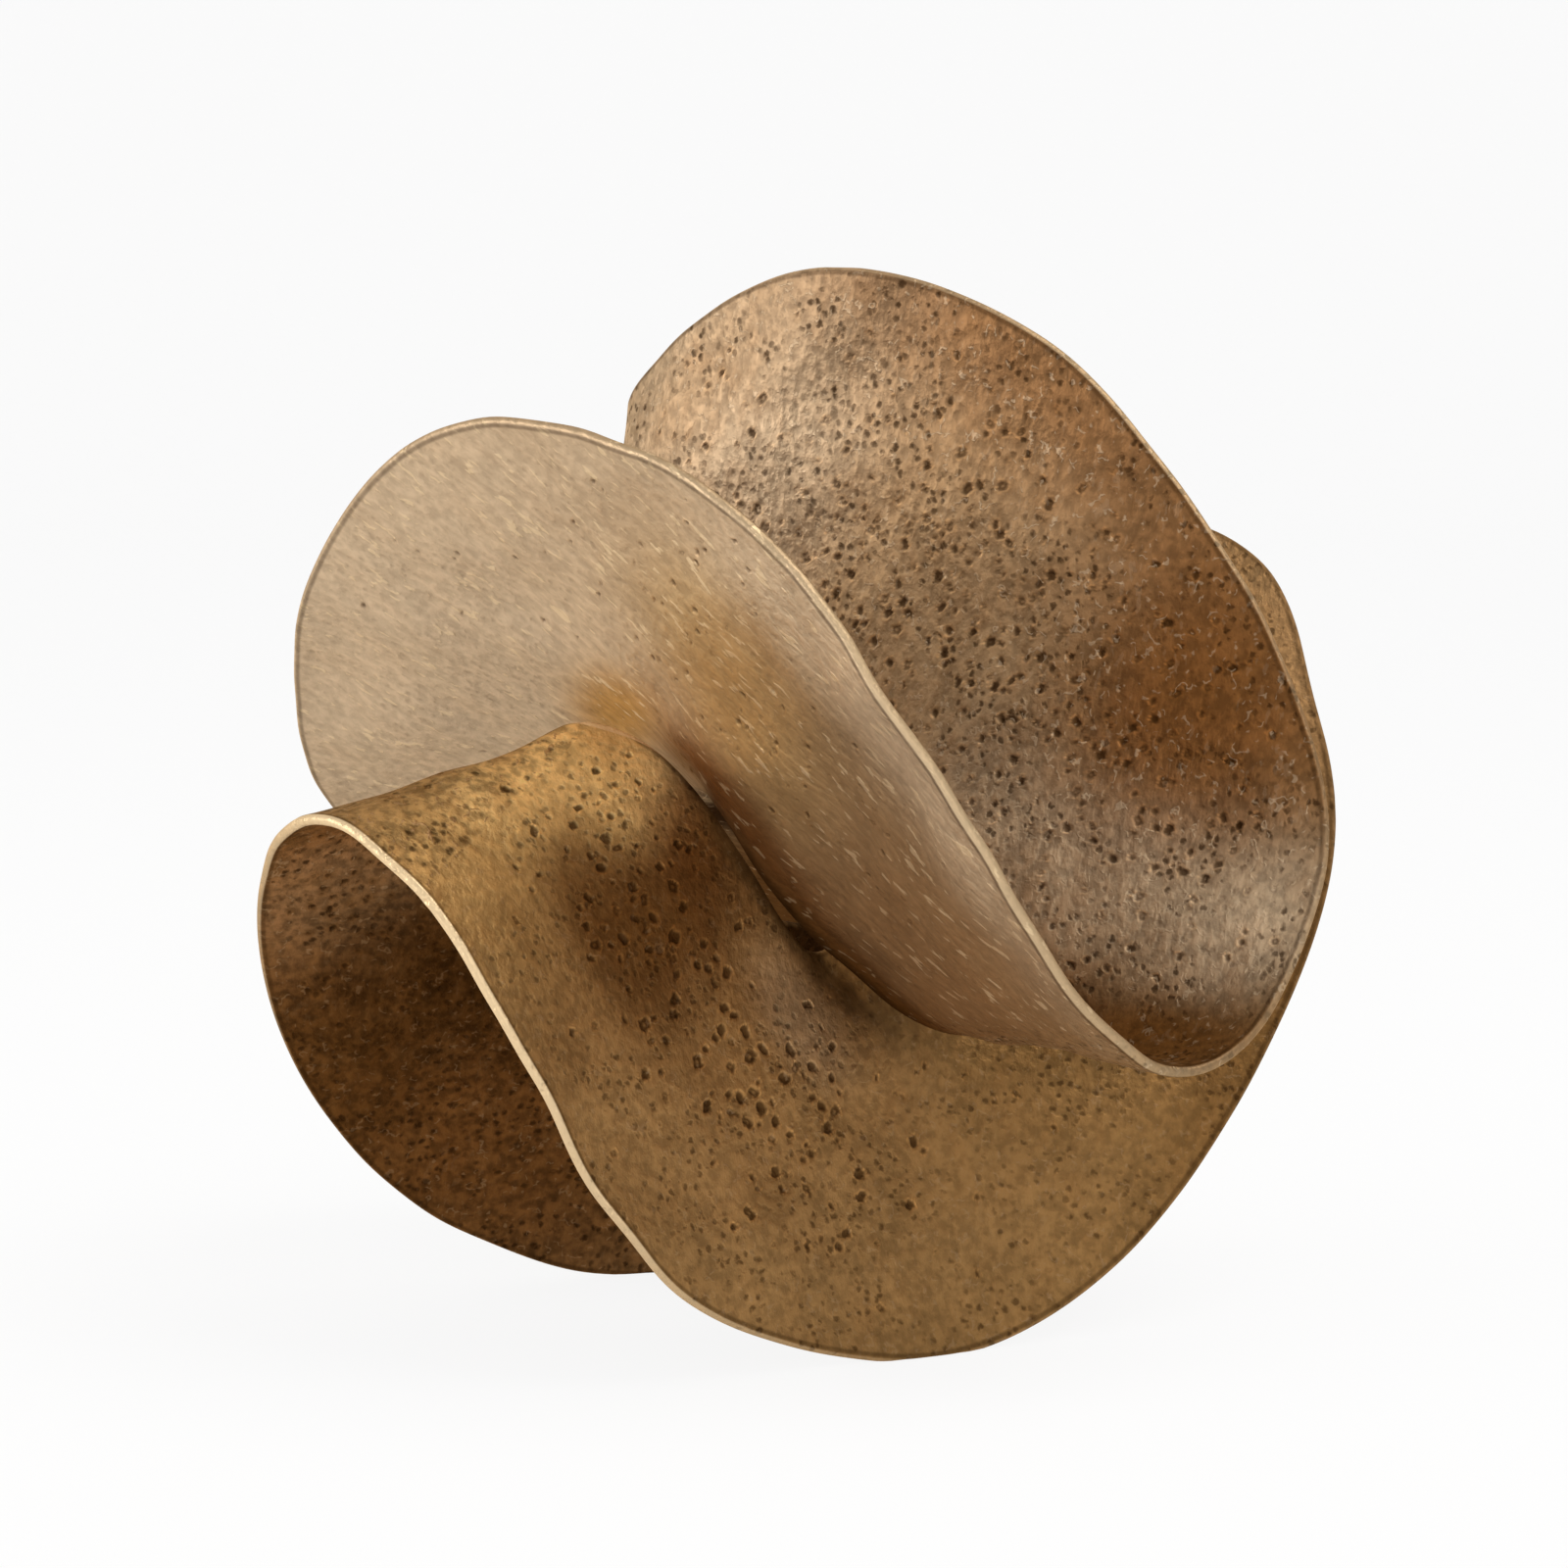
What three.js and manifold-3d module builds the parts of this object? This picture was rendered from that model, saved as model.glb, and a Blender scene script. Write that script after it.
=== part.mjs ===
// A free-standing whorl sculpture: one wide metal ribbon that closes on itself
// in four lobes, joined by four folds. Its outer rim runs over a sphere, and its
// inner rim closes to a narrow S-shaped slit. Each lobe is a casting, and a
// ground weld joins it to the next along the crest of each fold.
import * as THREE from "three";
import { mergeVertices } from "three/addons/utils/BufferGeometryUtils.js";
import Module from "manifold-3d";

// Sheet and welds, in millimetres.
const sheetThickness = 3;
const weldWidth = 5;
const weldGap = 0.3;

// Where the four welds cross the ribbon, in degrees round it. The upper left
// lobe's middle is at 0, the upper right's at 90 and the front one's at 180.
const rightFoldAngle = 48;
const rearLeftFoldAngle = 132;
const leftFoldAngle = 228;
const rearRightFoldAngle = 312;

// Outer rim, in millimetres: the height of each wave that the rim makes in one
// trip round the ribbon. The figure in a name counts the wave's turns, x lies
// along the upper left lobe's middle, and z along the slit's axis.
const outerX1 = 29;
const outerX3 = 125.5;
const outerX5 = -6.5;
const outerY1 = -112;
const outerY3 = -10;
const outerY5 = -52.5;
const outerZ2 = 119.5;
const outerZ4 = 15.5;
const outerZ6 = -2;

// What hand shaping adds to the outer rim's even waves.
const outerSwayX1 = -6;
const outerSwayX4 = 5.5;
const outerSwayY1 = 8.5;

// Inner rim, in the same terms. It lies a little off the outer rim's middle.
const innerShiftX = 2.5;
const innerShiftY = 5.9;
const innerX1 = -19.1;
const innerX3 = 54.7;
const innerX5 = -3.2;
const innerX7 = -4.8;
const innerY1 = -9.5;
const innerY3 = 9.6;
const innerY5 = -10.2;
const innerY7 = -4.8;
const innerZ2 = 46.6;
const innerZ4 = -1.6;
const innerZ6 = 14.7;

// Where the outer edge was trimmed or drawn out by hand: the place and half width
// in degrees round the ribbon, and the millimetres that the sheet gains.
const edgeWork = [
  { angle: 8, spread: 6, gain: 4 },
  { angle: 16, spread: 5, gain: -1.5 },
  { angle: 44, spread: 4, gain: -2.5 },
  { angle: 54, spread: 5, gain: -5 },
  { angle: 60, spread: 4, gain: -2 },
  { angle: 71, spread: 5, gain: 7 },
  { angle: 86, spread: 6, gain: -6 },
  { angle: 104, spread: 6, gain: 5.5 },
  { angle: 118, spread: 6, gain: -5 },
  { angle: 154, spread: 5, gain: 7 },
  { angle: 164, spread: 5, gain: -6 },
  { angle: 187, spread: 7, gain: 3.5 },
  { angle: 201, spread: 5, gain: -4 },
  { angle: 211, spread: 4, gain: 4.5 },
  { angle: 227, spread: 5, gain: -2.8 },
  { angle: 272, spread: 12, gain: 2 },
  { angle: 350, spread: 6, gain: -3.3 },
];

// How the sculpture stands: it is turned about x, y and z, in degrees, and rests
// on the flats ground on the two lower lobes' rims.
const standAngleX = 99.25;
const standAngleY = -6.5;
const standAngleZ = 146.7;
const flatDepth = 1.5;

// Mesh density: steps along a lobe, along a weld, across the sheet and round a rim.
const lobeSteps = 36;
const weldSteps = 4;
const sheetSteps = 12;
const rimSteps = 4;

const halfThickness = sheetThickness / 2;
const fullTurn = 360;
const { degToRad, radToDeg, euclideanModulo, lerp } = THREE.MathUtils;

function outerRim(angle) {
  const x = outerX1 * Math.cos(angle)
    + outerX3 * Math.cos(3 * angle)
    + outerX5 * Math.cos(5 * angle)
    + outerSwayX1 * Math.sin(angle)
    + outerSwayX4 * Math.cos(4 * angle);
  const y = outerY1 * Math.sin(angle)
    + outerY3 * Math.sin(3 * angle)
    + outerY5 * Math.sin(5 * angle)
    + outerSwayY1 * Math.cos(angle);
  const z = outerZ2 * Math.sin(2 * angle)
    + outerZ4 * Math.sin(4 * angle)
    + outerZ6 * Math.sin(6 * angle);
  return new THREE.Vector3(x, y, z);
}

function innerRim(angle) {
  const x = innerShiftX
    + innerX1 * Math.cos(angle)
    + innerX3 * Math.cos(3 * angle)
    + innerX5 * Math.cos(5 * angle)
    + innerX7 * Math.cos(7 * angle);
  const y = innerShiftY
    + innerY1 * Math.sin(angle)
    + innerY3 * Math.sin(3 * angle)
    + innerY5 * Math.sin(5 * angle)
    + innerY7 * Math.sin(7 * angle);
  const z = innerZ2 * Math.sin(2 * angle)
    + innerZ4 * Math.sin(4 * angle)
    + innerZ6 * Math.sin(6 * angle);
  return new THREE.Vector3(x, y, z);
}

// The sheet's gain at the outer edge, from every spot worked by hand.
function edgeGain(angle) {
  const degrees = radToDeg(angle);
  let gain = 0;
  for (const spot of edgeWork) {
    const away = euclideanModulo(degrees - spot.angle + fullTurn / 2, fullTurn) - fullTurn / 2;
    gain += spot.gain * Math.exp(-((away / spot.spread) ** 2));
  }
  return gain;
}

// The middle of the sheet: straight lines from the inner rim to the outer one.
// across runs from 0 to 1, and both ends stop short by the rounding of the rim.
function sheetPoint(angle, across) {
  const inner = innerRim(angle);
  const line = outerRim(angle).sub(inner);
  const length = line.length() + edgeGain(angle);
  const reach = lerp(halfThickness, length - halfThickness, across);
  return inner.addScaledVector(line.normalize(), reach);
}

// Directions on the sheet: its normal, the way out to the outer rim, and the
// distance that one radian covers square to that way.
function sheetFrame(angle, across) {
  const step = 1e-4;
  const along = sheetPoint(angle + step, across).sub(sheetPoint(angle - step, across));
  along.divideScalar(2 * step);
  const outward = sheetPoint(angle, 1).sub(sheetPoint(angle, 0)).normalize();
  const normal = along.clone().cross(outward);
  const squareSpeed = normal.length();
  return { normal: normal.normalize(), outward, squareSpeed };
}

// One closed ring round the sheet at one place along a piece. angleAt gives the
// angle for each place across, so that an end can follow a weld of even width.
function sheetRing(angleAt) {
  const ring = [];
  const surface = (across, side) => {
    const angle = angleAt(across);
    const offset = sheetFrame(angle, across).normal.multiplyScalar(side * halfThickness);
    return sheetPoint(angle, across).add(offset);
  };
  const rounding = (across, way) => {
    const angle = angleAt(across);
    const { normal, outward } = sheetFrame(angle, across);
    for (let i = 1; i < rimSteps; i += 1) {
      const turn = (Math.PI * i) / rimSteps;
      ring.push(sheetPoint(angle, across)
        .addScaledVector(normal, way * halfThickness * Math.cos(turn))
        .addScaledVector(outward, way * halfThickness * Math.sin(turn)));
    }
  };
  for (let i = 0; i <= sheetSteps; i += 1) ring.push(surface(i / sheetSteps, 1));
  rounding(1, 1);
  for (let i = sheetSteps; i >= 0; i -= 1) ring.push(surface(i / sheetSteps, -1));
  rounding(0, -1);
  return ring;
}

// Joins rings into one closed body, with a flat strip over each end.
function closedBody(rings) {
  const size = rings[0].length;
  const points = rings.flat().flatMap((point) => point.toArray());
  const faces = [];
  const quad = (a, b, c, d) => faces.push(a, c, b, a, d, c);
  for (let i = 0; i + 1 < rings.length; i += 1) {
    for (let j = 0; j < size; j += 1) {
      const next = (j + 1) % size;
      quad(i * size + j, i * size + next, (i + 1) * size + next, (i + 1) * size + j);
    }
  }
  const last = (rings.length - 1) * size;
  const topOf = (i) => (i + size - rimSteps / 2) % size;
  const underOf = (i) => (2 * size - rimSteps / 2 - i) % size;
  for (let i = 0; i < size / 2; i += 1) {
    const a = topOf(i);
    const b = topOf(i + 1);
    const c = underOf(i + 1);
    const d = underOf(i);
    if (a !== d) faces.push(a, b, d, last + a, last + d, last + b);
    if (b !== c) faces.push(b, c, d, last + b, last + d, last + c);
  }
  const geometry = new THREE.BufferGeometry();
  geometry.setAttribute("position", new THREE.Float32BufferAttribute(points, 3));
  geometry.setIndex(faces);
  return geometry;
}

// The angle that lies a distance in millimetres, square to the fold, past its crest.
function pastWeld(foldAngle, distance) {
  const angle = degToRad(foldAngle);
  return (across) => angle + distance / sheetFrame(angle, across).squareSpeed;
}

function lobeGeometry(startFold, endFold) {
  const clear = weldWidth / 2 + weldGap;
  const startAt = pastWeld(startFold, clear);
  const endAt = pastWeld(endFold, -clear);
  const rings = [];
  for (let i = 0; i <= lobeSteps; i += 1) {
    const share = i / lobeSteps;
    const angleAt = (across) => lerp(startAt(across), endAt(across), share);
    rings.push(sheetRing(angleAt));
  }
  return closedBody(rings);
}

function weldGeometry(foldAngle) {
  const rings = [];
  for (let i = 0; i <= weldSteps; i += 1) {
    const distance = weldWidth * (i / weldSteps - 0.5);
    rings.push(sheetRing(pastWeld(foldAngle, distance)));
  }
  return closedBody(rings);
}

const pieces = [
  { name: "upper_left_lobe", geometry: lobeGeometry(rearRightFoldAngle - fullTurn, rightFoldAngle) },
  { name: "upper_right_lobe", geometry: lobeGeometry(rightFoldAngle, rearLeftFoldAngle) },
  { name: "front_lobe", geometry: lobeGeometry(rearLeftFoldAngle, leftFoldAngle) },
  { name: "lower_left_lobe", geometry: lobeGeometry(leftFoldAngle, rearRightFoldAngle) },
  { name: "right_fold_weld", geometry: weldGeometry(rightFoldAngle), isWeld: true },
  { name: "rear_left_fold_weld", geometry: weldGeometry(rearLeftFoldAngle), isWeld: true },
  { name: "left_fold_weld", geometry: weldGeometry(leftFoldAngle), isWeld: true },
  { name: "rear_right_fold_weld", geometry: weldGeometry(rearRightFoldAngle), isWeld: true },
];

// Stands the pieces up, with the origin under the middle of their box.
const stand = new THREE.Matrix4().makeRotationFromEuler(
  new THREE.Euler(degToRad(standAngleX), degToRad(standAngleY), degToRad(standAngleZ), "XYZ"),
);
const box = new THREE.Box3();
for (const piece of pieces) {
  piece.geometry.applyMatrix4(stand);
  piece.geometry.computeBoundingBox();
  box.union(piece.geometry.boundingBox);
}
const middle = box.getCenter(new THREE.Vector3());
for (const piece of pieces) {
  piece.geometry.translate(-middle.x, -middle.y, -box.min.z - flatDepth);
}

// The flats that it stands on: whatever reaches below the ground is cut off.
const wasm = await Module();
wasm.setup();

function solidOf(geometry) {
  const bare = new THREE.BufferGeometry();
  bare.setAttribute("position", geometry.getAttribute("position"));
  bare.setIndex(geometry.getIndex());
  const merged = mergeVertices(bare, 1e-4);
  return new wasm.Manifold(new wasm.Mesh({
    numProp: 3,
    vertProperties: new Float32Array(merged.getAttribute("position").array),
    triVerts: new Uint32Array(merged.getIndex().array),
  }));
}

function geometryOf(solid) {
  const mesh = solid.getMesh();
  const geometry = new THREE.BufferGeometry();
  geometry.setAttribute("position", new THREE.BufferAttribute(mesh.vertProperties, 3));
  geometry.setIndex(new THREE.BufferAttribute(mesh.triVerts, 1));
  return geometry;
}

const boxSize = box.getSize(new THREE.Vector3());
const groundHeight = 2 * flatDepth;
const ground = new THREE.BoxGeometry(2 * boxSize.x, 2 * boxSize.y, groundHeight);
ground.translate(0, 0, -groundHeight / 2);
ground.deleteAttribute("normal");
ground.deleteAttribute("uv");
const groundSolid = solidOf(ground);

for (const piece of pieces) {
  piece.geometry.computeBoundingBox();
  if (piece.geometry.boundingBox.min.z < 0) {
    piece.geometry = geometryOf(solidOf(piece.geometry).subtract(groundSolid));
  }
  piece.geometry.computeVertexNormals();
}

// The lobes and the welds share one antique brass finish; ground weld metal is
// a little brighter.
const lobeMetal = { color: 0xa8835a, roughness: 0.45, metalness: 0.85 };
const weldMetal = { color: 0xb8966a, roughness: 0.35, metalness: 0.9 };

const sculpture = new THREE.Group();
for (const piece of pieces) {
  const finish = new THREE.MeshStandardMaterial(piece.isWeld ? weldMetal : lobeMetal);
  const mesh = new THREE.Mesh(piece.geometry, finish);
  mesh.name = piece.name;
  sculpture.add(mesh);
}

export default sculpture;
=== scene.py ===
import math

import bpy
import numpy as np
from mathutils import Euler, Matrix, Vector


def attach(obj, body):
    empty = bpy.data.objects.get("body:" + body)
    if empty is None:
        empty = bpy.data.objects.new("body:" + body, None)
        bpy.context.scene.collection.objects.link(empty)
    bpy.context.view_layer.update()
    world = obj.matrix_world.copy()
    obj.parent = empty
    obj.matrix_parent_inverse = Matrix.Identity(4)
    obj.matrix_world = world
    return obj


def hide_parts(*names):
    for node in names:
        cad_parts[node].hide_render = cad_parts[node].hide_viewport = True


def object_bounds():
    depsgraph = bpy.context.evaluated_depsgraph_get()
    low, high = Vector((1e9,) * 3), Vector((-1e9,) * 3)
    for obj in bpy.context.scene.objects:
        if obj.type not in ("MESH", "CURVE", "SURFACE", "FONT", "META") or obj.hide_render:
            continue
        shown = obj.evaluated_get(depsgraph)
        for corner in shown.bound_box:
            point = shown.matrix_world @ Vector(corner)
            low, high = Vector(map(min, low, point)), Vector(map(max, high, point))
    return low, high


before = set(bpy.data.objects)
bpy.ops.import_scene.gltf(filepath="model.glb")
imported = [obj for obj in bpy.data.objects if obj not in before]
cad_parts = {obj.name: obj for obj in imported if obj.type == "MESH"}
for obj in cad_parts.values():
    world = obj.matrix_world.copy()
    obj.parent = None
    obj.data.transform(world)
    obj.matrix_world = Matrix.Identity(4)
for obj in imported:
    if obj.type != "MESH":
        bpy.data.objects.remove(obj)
cad_low, cad_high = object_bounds()


# Where the sculpture stands: the loop's own axes are turned about x, y and z, and it
# rests on the flats of its two lower lobes. The camera looks at the loop's centre.
MM = 0.001
LOOP_TURNS = (99.25, -6.5, 146.7)
LOOP_CENTRE = Vector((-1.9918, -1.3020, 135.8724)) * MM

# The lens and its shift in the photograph's pixels, and the camera in metres.
PHOTO_WIDTH = 1600
FOCAL_IN_PIXELS = 5500
CENTRE_RIGHT = 18.1
CENTRE_DOWN = 47.1
CAMERA_DISTANCE = 1.5
CAMERA_RISE = math.radians(7.35)

camera = bpy.data.objects.new("studio_camera", bpy.data.cameras.new("studio_camera"))
camera.data.sensor_width = 36
camera.data.lens = FOCAL_IN_PIXELS / PHOTO_WIDTH * camera.data.sensor_width
camera.data.shift_x = -CENTRE_RIGHT / PHOTO_WIDTH
camera.data.shift_y = CENTRE_DOWN / PHOTO_WIDTH
camera.data.clip_start = 0.05
camera.data.clip_end = 60
to_camera = Vector((0, -math.cos(CAMERA_RISE), math.sin(CAMERA_RISE)))
camera.location = LOOP_CENTRE + to_camera * CAMERA_DISTANCE
camera.rotation_euler = (math.pi / 2 - CAMERA_RISE, 0, 0)
bpy.context.scene.collection.objects.link(camera)
bpy.context.scene.camera = camera
bpy.context.scene.view_settings.view_transform = "Standard"


# The studio: white paper that runs under the sculpture and up behind it, lit by large
# soft lamps. To the eye the paper is near white, and it keeps the sculpture's shadow.
class Value:
    """One socket of a node. Sums of values build Math nodes."""

    def __init__(self, nodes, socket):
        self.nodes = nodes
        self.socket = socket

    def join(self, operation, first, second):
        return self.nodes.add("Math", {"operation": operation}, {0: first, 1: second})

    def __add__(self, other):
        return self.join("ADD", self, other)

    def __sub__(self, other):
        return self.join("SUBTRACT", self, other)

    def __rsub__(self, other):
        return self.join("SUBTRACT", other, self)

    def __mul__(self, other):
        return self.join("MULTIPLY", self, other)

    __radd__ = __add__
    __rmul__ = __mul__

    def from_output(self, name):
        return Value(self.nodes, self.socket.node.outputs[name])


class Nodes:
    """The nodes of a material or world, each made from its type, settings and sockets."""

    def __init__(self, owner):
        owner.use_nodes = True
        self.tree = owner.node_tree
        self.tree.nodes.clear()

    def add(self, kind, settings=None, sockets=None):
        node = self.tree.nodes.new("ShaderNode" + kind)
        for name, setting in (settings or {}).items():
            setattr(node, name, setting)
        for key, value in (sockets or {}).items():
            socket = node.inputs[key]
            if isinstance(value, Value):
                self.tree.links.new(value.socket, socket)
            elif socket.type == "RGBA":
                socket.default_value = (*value, 1)
            else:
                socket.default_value = value
        return Value(self, node.outputs[0]) if node.outputs else None

    def blend(self, kind, amount, first, second):
        settings = {"data_type": "RGBA", "blend_type": kind}
        mixed = self.add("Mix", settings, {0: amount, 6: first, 7: second})
        return Value(self, mixed.socket.node.outputs[2])

    def ease(self, value, low, high):
        settings = {"interpolation_type": "SMOOTHSTEP"}
        return self.add("MapRange", settings, {0: value, 1: low, 2: high})


PAPER_COLOUR = (0.93, 0.93, 0.93)
WHITE = (1, 1, 1)
PAPER_GLOW = 0.88
PAPER_HALF_WIDTH = 6.0
PAPER_FRONT = -3.0
PAPER_BACK = 3.0
PAPER_BEND = 1.0
PAPER_BEND_STEPS = 16
PAPER_TOP = 5.0

paper_material = bpy.data.materials.new("white_paper")
nodes = Nodes(paper_material)
rays = nodes.add("LightPath")
seen = rays.from_output("Is Camera Ray") + rays.from_output("Is Glossy Ray")
seen = seen + rays.from_output("Is Transmission Ray")
matt = nodes.add("BsdfDiffuse", {}, {"Color": PAPER_COLOUR})
glow = nodes.add("Emission", {}, {"Color": WHITE, "Strength": 1.0})
both = nodes.add("MixShader", {}, {"Fac": seen * PAPER_GLOW, 1: matt, 2: glow})
nodes.add("OutputMaterial", {}, {"Surface": both})

profile = [(PAPER_FRONT, 0)]
for step in range(PAPER_BEND_STEPS + 1):
    turn = math.pi / 2 * step / PAPER_BEND_STEPS
    back, up = PAPER_BEND * math.sin(turn), PAPER_BEND * (1 - math.cos(turn))
    profile.append((PAPER_BACK + back, up))
profile.append((PAPER_BACK + PAPER_BEND, PAPER_TOP))
sides = (-PAPER_HALF_WIDTH, PAPER_HALF_WIDTH)
paper_points = [(side, y, z) for y, z in profile for side in sides]
paper_faces = [(2 * i, 2 * i + 1, 2 * i + 3, 2 * i + 2) for i in range(len(profile) - 1)]
paper_mesh = bpy.data.meshes.new("white_paper")
paper_mesh.from_pydata(paper_points, [], paper_faces)
paper_mesh.materials.append(paper_material)
paper_mesh.shade_smooth()
paper = bpy.data.objects.new("white_paper", paper_mesh)
bpy.context.scene.collection.objects.link(paper)

# The white room round the paper: a plain soft light, which the eye sees as white.
ROOM_LIGHT = 0.6
ROOM_COLOUR = (0.97, 0.97, 0.97)
room = bpy.data.worlds.new("white_room")
nodes = Nodes(room)
seen = nodes.add("LightPath").from_output("Is Camera Ray")
strength = ROOM_LIGHT + (1 - ROOM_LIGHT) * seen
light = nodes.add("Background", {}, {"Color": ROOM_COLOUR, "Strength": strength})
nodes.add("OutputWorld", {}, {"Surface": light})
bpy.context.scene.world = room

# Each lamp: its place in metres, side in metres, watts and colour.
LAMPS = {
    "left_lamp": ((-2.0, -0.5, 0.4), 1.6, 26, (1.0, 0.98, 0.96)),
    "right_lamp": ((0.9, -0.4, 2.0), 1.5, 18, (1.0, 0.98, 0.94)),
    "front_lamp": ((0.3, -2.1, 0.5), 1.5, 8, (1.0, 0.98, 0.95)),
}
for name, (place, side, watts, colour) in LAMPS.items():
    lamp = bpy.data.lights.new(name, "AREA")
    lamp.size = side
    lamp.energy = watts
    lamp.color = colour
    lamp_object = bpy.data.objects.new(name, lamp)
    lamp_object.location = place
    aim = LOOP_CENTRE - Vector(place)
    lamp_object.rotation_euler = aim.to_track_quat("-Z", "Y").to_euler()
    bpy.context.scene.collection.objects.link(lamp_object)


# Upper left lobe: a quarter of the ribbon, sand cast in brass as a dished sheet 3 mm
# thick. The whole ribbon runs between an outer and an inner rim, and each rim is a sum
# of waves. The lobe is butt-welded to the next one along each of its two folds.

# The sheet and the weld beads in mm, and the folds in degrees round the ribbon.
SHEET = 3.0
HALF_SHEET = SHEET / 2
WELD_WIDTH = 5.0
RIGHT_FOLD = 48
REAR_LEFT_FOLD = 132
LEFT_FOLD = 228
REAR_RIGHT_FOLD = 312
FULL_TURN = 360

# For x, y and z: the shift, the cosine waves and the sine waves, as {turns: height}.
OUTER_RIM = (
    (0, {1: 29, 3: 125.5, 4: 5.5, 5: -6.5}, {1: -6}),
    (0, {1: 8.5}, {1: -112, 3: -10, 5: -52.5}),
    (0, {}, {2: 119.5, 4: 15.5, 6: -2}),
)
INNER_RIM = (
    (2.5, {1: -19.1, 3: 54.7, 5: -3.2, 7: -4.8}, {}),
    (5.9, {}, {1: -9.5, 3: 9.6, 5: -10.2, 7: -4.8}),
    (0, {}, {2: 46.6, 4: -1.6, 6: 14.7}),
)
# Where the outer edge was trimmed or drawn out: degrees, half width, millimetres.
EDGE_WORK = (
    (8, 6, 4), (16, 5, -1.5), (44, 4, -2.5), (54, 5, -5), (60, 4, -2), (71, 5, 7),
    (86, 6, -6), (104, 6, 5.5), (118, 6, -5), (154, 5, 7), (164, 5, -6), (187, 7, 3.5),
    (201, 5, -4), (211, 4, 4.5), (227, 5, -2.8), (272, 12, 2), (350, 6, -3.3),
)
# Slow unevenness left by casting and hand dressing: wavelength and height in mm.
SWELLS = ((62, 0.30), (41, 0.22), (29, 0.14), (19, 0.08))
WAYS_PER_SWELL = 5

# Mesh cells across a face and round a rim, and how many small ones the side of a cell
# splits into. All points are first worked out on the lattice of the small cells.
FACE_CELLS = 56
RIM_CELLS = 6
CELL_SPLIT = 4
luck = np.random.default_rng(48)
swell_ways = [
    (way / np.linalg.norm(way) * 2 * math.pi / length, height, luck.uniform(0, 2 * math.pi))
    for length, height in SWELLS
    for way in luck.normal(size=(WAYS_PER_SWELL, 3))
]


def rim_curve(angle, rim):
    axes = []
    for shift, cosines, sines in rim:
        even = sum(height * np.cos(turns * angle) for turns, height in cosines.items())
        odd = sum(height * np.sin(turns * angle) for turns, height in sines.items())
        axes.append(shift + (even + odd))
    return np.stack(axes, axis=-1)


def degrees_from(angle, place):
    return (np.degrees(angle) - place + FULL_TURN / 2) % FULL_TURN - FULL_TURN / 2


def sheet_line(angle):
    """The inner rim, the way out to the outer rim and the sheet's width, in mm."""
    inner = rim_curve(angle, INNER_RIM)
    line = rim_curve(angle, OUTER_RIM) - inner
    length = np.linalg.norm(line, axis=-1)
    outward = line / length[..., None]
    for place, spread, gain in EDGE_WORK:
        length = length + gain * np.exp(-(degrees_from(angle, place) / spread) ** 2)
    return inner, outward, length


def sheet_point(angle, across):
    """A place on the sheet's middle: across runs from 0 at the inner rim to 1."""
    inner, outward, length = sheet_line(angle)
    reach = HALF_SHEET + (length - SHEET) * across
    return inner + outward * reach[..., None]


def sheet_frame(angle, across):
    """The sheet's normal, the way out, and the mm that one radian covers."""
    step = 1e-4
    along = sheet_point(angle + step, across) - sheet_point(angle - step, across)
    outward = sheet_line(angle)[1]
    normal = np.cross(along / (2 * step), outward)
    speed = np.linalg.norm(normal, axis=-1)
    return normal / speed[..., None], outward, speed


def swell(points):
    return sum(height * np.sin(points @ way + start) for way, height, start in swell_ways)


def swell_slope(points):
    return sum(
        (height * np.cos(points @ way + start))[..., None] * way
        for way, height, start in swell_ways
    )


def ring_columns():
    """Once round the sheet's edge: across, and the shares of normal and outward.

    The columns run up one face, round the outer rim, down the other face and round
    the inner rim, and they stand closer together near the rims.
    """
    even = np.arange(FACE_CELLS * CELL_SPLIT) / (FACE_CELLS * CELL_SPLIT)
    across = (even + (1 - np.cos(math.pi * even)) / 2) / 2
    turn = math.pi * np.arange(RIM_CELLS * CELL_SPLIT) / (RIM_CELLS * CELL_SPLIT)
    flat, rim = np.ones_like(even), np.ones_like(turn)
    across = np.concatenate([across, rim, 1 - across, 0 * rim])
    lift = np.concatenate([flat, np.cos(turn), -flat, -np.cos(turn)])
    push = np.concatenate([0 * flat, np.sin(turn), 0 * flat, -np.sin(turn)])
    return across, lift, push


# The tones that the hot patina left, some also used for painted shade and
# highlights: linear red, green and blue.
PALE = (0.58, 0.43, 0.28)
SAND = (0.52, 0.37, 0.23)
CAMEL = (0.44, 0.29, 0.155)
GOLD = (0.54, 0.33, 0.12)
# A honey gold bright enough to hold a painted highlight, used on the crest.
HONEY_HIGHLIGHT = (0.92, 0.64, 0.28)
AMBER = (0.43, 0.21, 0.045)
TAN = (0.36, 0.21, 0.10)
BRONZE = (0.36, 0.20, 0.075)
OLIVE = (0.25, 0.135, 0.045)
RUST = (0.32, 0.14, 0.04)
RUSSET = (0.19, 0.075, 0.020)
UMBER = (0.115, 0.045, 0.010)
# Soot black: dark patina in pits and pocks, and also painted shadow.
SOOT_AND_SHADOW = (0.040, 0.016, 0.004)

# The ribbon's two faces. The photograph shows the first one on the upper left and the
# front lobe, and the second one on the other two.
FACE = 1
REVERSE = -1
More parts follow.
